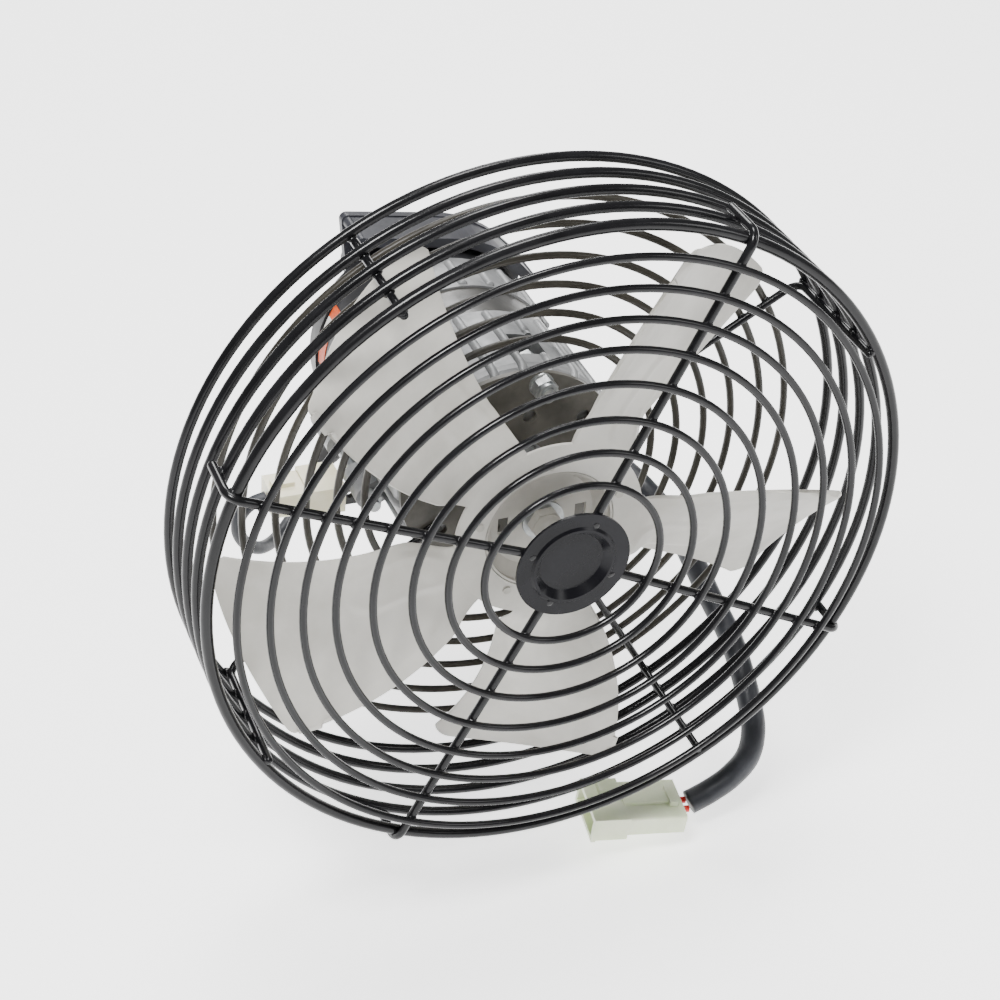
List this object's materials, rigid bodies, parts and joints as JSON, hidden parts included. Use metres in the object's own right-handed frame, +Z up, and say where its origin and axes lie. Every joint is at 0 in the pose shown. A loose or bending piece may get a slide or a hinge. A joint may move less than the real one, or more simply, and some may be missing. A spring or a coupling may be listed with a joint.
{
  "type": "cooling fan unit",
  "caption": "Electric cooling fan unit of a hydraulic oil cooler: round wire guard, sheet fan, ribbed DC motor, mounting bracket and wiring harness.",
  "frame": {"origin": "centre of the three-hole mounting pattern on the bracket's back face, on the fan axis", "axes": "+Y along the fan axis towards the rear, the front of the fan faces -Y, +Z up, +X to the right seen from the front"},
  "size_m": [0.3008, 0.2076, 0.3349],
  "materials": {
    "guard_wire": "gloss black paint",
    "guard_plate": "satin black paint",
    "blade": "satin",
    "cast_aluminium": "cast",
    "dark_steel": "satin black paint",
    "bright_steel": "ground",
    "zinc_steel": "satin",
    "core_steel": "satin",
    "copper": "enamelled",
    "brass": "satin",
    "carbon": "matt",
    "ferrite": "matt",
    "board": "satin",
    "black_plastic": "satin",
    "rubber": "matt",
    "sleeving": "satin",
    "red_insulation": "satin",
    "cream_plastic": "satin, slightly translucent",
    "label": "matt"
  },
  "bodies": {
    "housing": {"front_guard_rings": "guard_wire", "front_guard_spokes": "guard_wire", "front_guard_disc": "guard_plate", "guard_side_rings": "guard_wire", "rear_guard_spokes": "guard_wire", "rear_guard_rings": "guard_wire", "rear_guard_plate": "guard_plate", "shaft_seal": "rubber", "bearing_outer_rings": "bright_steel", "brush_plate": "board", "brush_boxes": "brass", "brushes": "carbon", "brush_springs": "bright_steel", "field_magnets": "ferrite", "motor_yoke": "dark_steel", "front_housing": "cast_aluminium", "rear_housing": "cast_aluminium", "rear_cover": "black_plastic", "through_bolts": "zinc_steel", "through_bolt_spacers": "zinc_steel", "through_bolt_nuts": "zinc_steel", "plate_bolts": "zinc_steel", "plate_washers": "zinc_steel", "plate_nuts": "zinc_steel", "mount_bracket": "dark_steel", "bracket_spacers": "zinc_steel", "bracket_screws": "zinc_steel", "motor_label": "label", "harness_gland": "rubber", "harness_sleeve": "sleeving", "harness_wires": "red_insulation", "plug_housing": "cream_plastic", "plug_retainer": "cream_plastic", "plug_terminals": "brass", "lead_gland": "rubber", "lead_cable": "sleeving", "lead_plug": "cream_plastic", "lead_socket": "cream_plastic", "socket_clip": "black_plastic"},
    "rotor": {"fan_blades": "blade", "fan_hub_cup": "blade", "fan_hub_collar": "bright_steel", "fan_rivets": "blade", "fan_washer": "zinc_steel", "fan_nut": "blade", "motor_shaft": "bright_steel", "bearing_inner_rings": "bright_steel", "bearing_balls": "bright_steel", "armature_core": "core_steel", "armature_windings": "copper", "commutator": "copper"}
  },
  "joints": [
    {"name": "fan_spin", "type": "hinge", "parent": "housing", "child": "rotor", "pos_m": [0, -0.19, 0], "axis": [0, -1, 0], "continuous": true}
  ]
}
